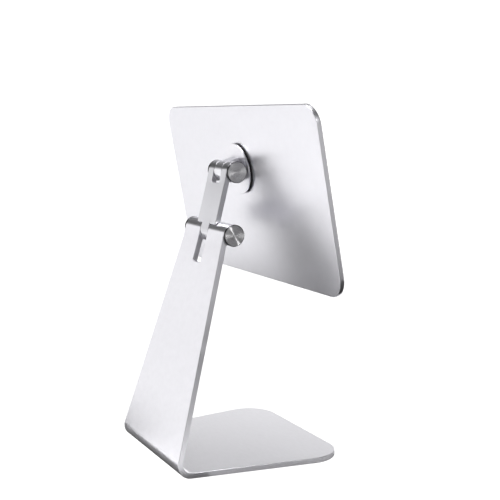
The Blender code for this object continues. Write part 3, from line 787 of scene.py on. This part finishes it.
# %% Bracket
PLATE_FROM_AXIS = 12.0
FLANGE_RADIUS, FLANGE_THICK, FLANGE_EDGE = 21.2, 1.0, 0.22
STANDOFF = 1.7                 # from the flange to the plate
HUB, HUB_DEPTH = 8.0, 1.9      # the hub goes this deep into the plate
STEM_HALF_HEIGHT, STEM_STEPS = 9.8, 96
STEM_CUT_HALF = 20
SCREW_OFFSET, SCREW_HOLE, SCREW_FROM, SCREW_TO = 3.6, 1.5, 4, 5.5


def behind(depth):
    """A height along a shape that faces the back, from a depth in front of the plate's back face."""
    return -PLATE_FROM_AXIS - depth


flange_front, flange_back = behind(-STANDOFF), behind(-STANDOFF - FLANGE_THICK)
stem_end = behind(-STANDOFF - FLANGE_THICK / 2)
corner = Vector((stem_end, STEM_HALF_HEIGHT))
touch = math.atan2(corner.y, corner.x) - math.acos(BARREL / corner.length)
stem_outline = [(corner.x, corner.y)]
for step in range(STEM_STEPS + 1):
    a = touch - 2 * touch * step / STEM_STEPS
    stem_outline.append((BARREL * math.cos(a), BARREL * math.sin(a)))
stem_outline.append((corner.x, -corner.y))

flange = [(0, flange_back), (FLANGE_RADIUS, flange_back), (FLANGE_RADIUS, flange_front),
          (HUB, flange_front), (HUB, behind(HUB_DEPTH)), (0, behind(HUB_DEPTH))]
bracket = turned("bracket_skin", rounded(flange, FLANGE_EDGE), PLATE @ TO_BACK, sides=160)
join_on(bracket, slab("stem", stem_outline, -BRACKET_HALF, BRACKET_HALF, PLATE @ SIDEWAYS,
                      edge=KNUCKLE_EDGE))
cut(bracket, rod("bush_hole", STEM_CUT_HALF, PLATE, BUSH_HOLE))

# %% Screw holes of the bracket
screw_hole = [(0, behind(-SCREW_TO)), (SCREW_HOLE, behind(-SCREW_TO)),
              (SCREW_HOLE, behind(SCREW_FROM)), (0, behind(SCREW_FROM))]
for x in (-SCREW_OFFSET, SCREW_OFFSET):
    for z in (-SCREW_OFFSET, SCREW_OFFSET):
        at = PLATE @ Matrix.Translation((x * MM, 0, z * MM)) @ TO_BACK
        cut(bracket, turned("screw_hole", screw_hole, at, sides=24))
finish_piece(bracket, "bracket", "tilt_bracket", "satin_aluminium")

# %% [markdown]
# ## The black ring
# A black ring lies between the flange and the plate, and the plate turns on it. It shows as a dark line. It
# is a closed profile, turned like the caps but with a hole in the middle.

# %% Black ring
RING_INNER_GAP, RING_OUTER_GAP, RING_EDGE = 0.6, 0.4, 0.15
ring_in, ring_out = HUB + RING_INNER_GAP, FLANGE_RADIUS - RING_OUTER_GAP
ring_front, ring_back = behind(-GAP), behind(-STANDOFF + GAP)
corners = [(ring_in, ring_front), (ring_out, ring_front), (ring_out, ring_back), (ring_in, ring_back),
           (ring_in, ring_front)]
ring_profile = rounded(corners, RING_EDGE)[:-1]
gasket = turned("turntable_ring_skin", ring_profile, PLATE @ TO_BACK, sides=160, closed=True)
finish_piece(gasket, "bracket", "turntable_gasket", "black_polymer")

# %% [markdown]
# ## The plate
# A thin aluminium shell with round corners and a fine bright edge. Its front is pocketed for the magnets
# and covered by a soft sheet, which holds the tablet without a mark. The outline is four arcs, and it
# serves the shell and, moved in, the sheet on its front.

# %% Plate shell
PLATE_WIDE, PLATE_HIGH = 265.2, 144.8
PLATE_CORNER, PLATE_EDGE = 16.0, 0.5
PLATE_SHELL = 3.6
PLATE_DROP = 20.3              # the plate's middle lies this far below its hinge axis
PIVOT_RADIUS, PIVOT_FLOOR, PIVOT_CUT = 14.3, 1.2, 6


def plate_outline(inset, corner_steps=20):
    """The plate's outline moved in."""
    radius = PLATE_CORNER - inset
    across, up = (PLATE_WIDE - 2 * inset) / 2 - radius, (PLATE_HIGH - 2 * inset) / 2 - radius
    outline = []
    for index, (sx, sy) in enumerate(((1, 1), (-1, 1), (-1, -1), (1, -1))):
        for step in range(corner_steps + 1):
            a = math.pi / 2 * (index + step / corner_steps)
            outline.append((sx * across + radius * math.cos(a), sy * up - PLATE_DROP + radius * math.sin(a)))
    return outline


shell = slab("plate_skin", plate_outline(0), behind(PLATE_SHELL), behind(0), PLATE @ STAND_UP,
             edge=PLATE_EDGE)
pivot = [(0, behind(-OVER)), (HUB + GAP, behind(-OVER)), (HUB + GAP, behind(PIVOT_FLOOR)),
         (PIVOT_RADIUS, behind(PIVOT_FLOOR)), (PIVOT_RADIUS, behind(PIVOT_CUT)), (0, behind(PIVOT_CUT))]
cut(shell, turned("pivot_hole", pivot, PLATE @ TO_BACK, sides=96))

# %% Magnet pockets
for name in sorted(n for n in frame["nodes"] if n.startswith("magnet_")):
    corners = [PLATE.inverted() @ v.co / MM for v in frame["nodes"][name].data.vertices]
    left, _, bottom = [min(c[i] for c in corners) - GAP for i in range(3)]
    right, shallow, top = [max(c[i] for c in corners) + GAP for i in range(3)]
    pocket = [(left, behind(PLATE_SHELL + OVER)), (right, behind(PLATE_SHELL + OVER)), (right, shallow),
              (left, shallow)]
    cut(shell, slab("pocket", pocket, bottom, top, PLATE))
finish_piece(shell, "plate", "plate_shell", "satin_aluminium", finish=plate_aluminium)

# %% Plate pad
PLATE_PAD, PLATE_PAD_INSET, PLATE_PAD_EDGE = 0.5, 1.2, 0.12
pad_back = PLATE_SHELL + GAP
plate_pad = slab("plate_pad_skin", plate_outline(PLATE_PAD_INSET), behind(pad_back + PLATE_PAD),
                 behind(pad_back), PLATE @ STAND_UP, edge=PLATE_PAD_EDGE)
finish_piece(plate_pad, "plate", "plate_pad", "silicone")

# %% [markdown]
# ## The caps
# Each hinge ends in a turned steel cap. The tool leaves a shallow dish with fine rings inside a rounded
# rim. The cap is turned round its own Z, so that the rings run round the cap and the shader knows which way
# they go.

# %% Profile of a cap
CAP_RADIUS, CAP_THICK, CAP_PLUG = 8.8, 1.7, 1.4
CAP_RIM, CAP_RIM_STEPS = 0.35, 4
RINGS, RING_DEPTH = 6, 0.05
DISH, DISH_MIDDLE = 0.02, 0.5
LIP, LIP_SLOPE = 0.55, 0.18
SEAT_EDGE = 0.1


def cap_profile(half):
    """From the centre of the face, over the rim, to the plug in the knuckle."""
    seat, plug, plug_end = half + GAP, POCKET - GAP, half - CAP_PLUG + GAP
    face = seat + CAP_THICK
    dish = face - DISH
    rim = CAP_RADIUS - CAP_RIM
    first, last = DISH_MIDDLE, rim - LIP
    quarter = (last - first) / RINGS / 4
    profile = [(0, dish), (first, dish)]
    for index in range(RINGS):
        middle = first + (last - first) * (index + 0.5) / RINGS
        profile += [(middle - quarter, dish), (middle, dish - RING_DEPTH), (middle + quarter, dish)]
    profile += [(last, dish), (last + LIP_SLOPE, face)]
    for step in range(CAP_RIM_STEPS + 1):
        a = math.pi / 2 * step / CAP_RIM_STEPS
        profile.append((rim + CAP_RIM * math.sin(a), face - CAP_RIM * (1 - math.cos(a))))
    profile += [(CAP_RADIUS, seat + SEAT_EDGE), (CAP_RADIUS - SEAT_EDGE, seat)]
    return profile + [(plug, seat), (plug, plug_end), (0, plug_end)]


# %% Caps
turned_caps = bpy.data.collections.new("turned_caps")
fan_box.light_linking.receiver_collection = turned_caps
CAPS = {"lower": (NECK, NECK_TOP_HALF, "foot"), "upper": (CLEVIS, ARM_HALF, "arm")}
for hinge, (where, half, body) in CAPS.items():
    for side, turn in (("left", ALONG_MINUS_X), ("right", ALONG_X)):
        about = where @ turn
        cap = turned(f"{hinge}_cap_{side}_skin", cap_profile(half), about)
        finish_piece(cap, body, f"{hinge}_cap_{side}", "spun_steel", about=about)
        turned_caps.objects.link(cap)

# %% [markdown]
# ## The parts inside
# Pins, nuts, springs, washers, bushes, screws and magnets keep their solids, which are already exact. They
# only take a finish, which their names decide.

# %% Finishes for the parts that stay
INSIDE = {
    "steel": ("pin", "nut", "disc_spring", "retaining"),
    "black_polymer": ("washer", "bush", "slip_ring"),
    "magnet": ("magnet",),
}
for name, node in frame["nodes"].items():
    if node.hide_render:
        continue
    slot_name = next(slot for slot, words in INSIDE.items() if any(word in name for word in words))
    node.data.materials.clear()
    node.data.materials.append(FINISHES[slot_name])
    print(name, "is", slot_name)
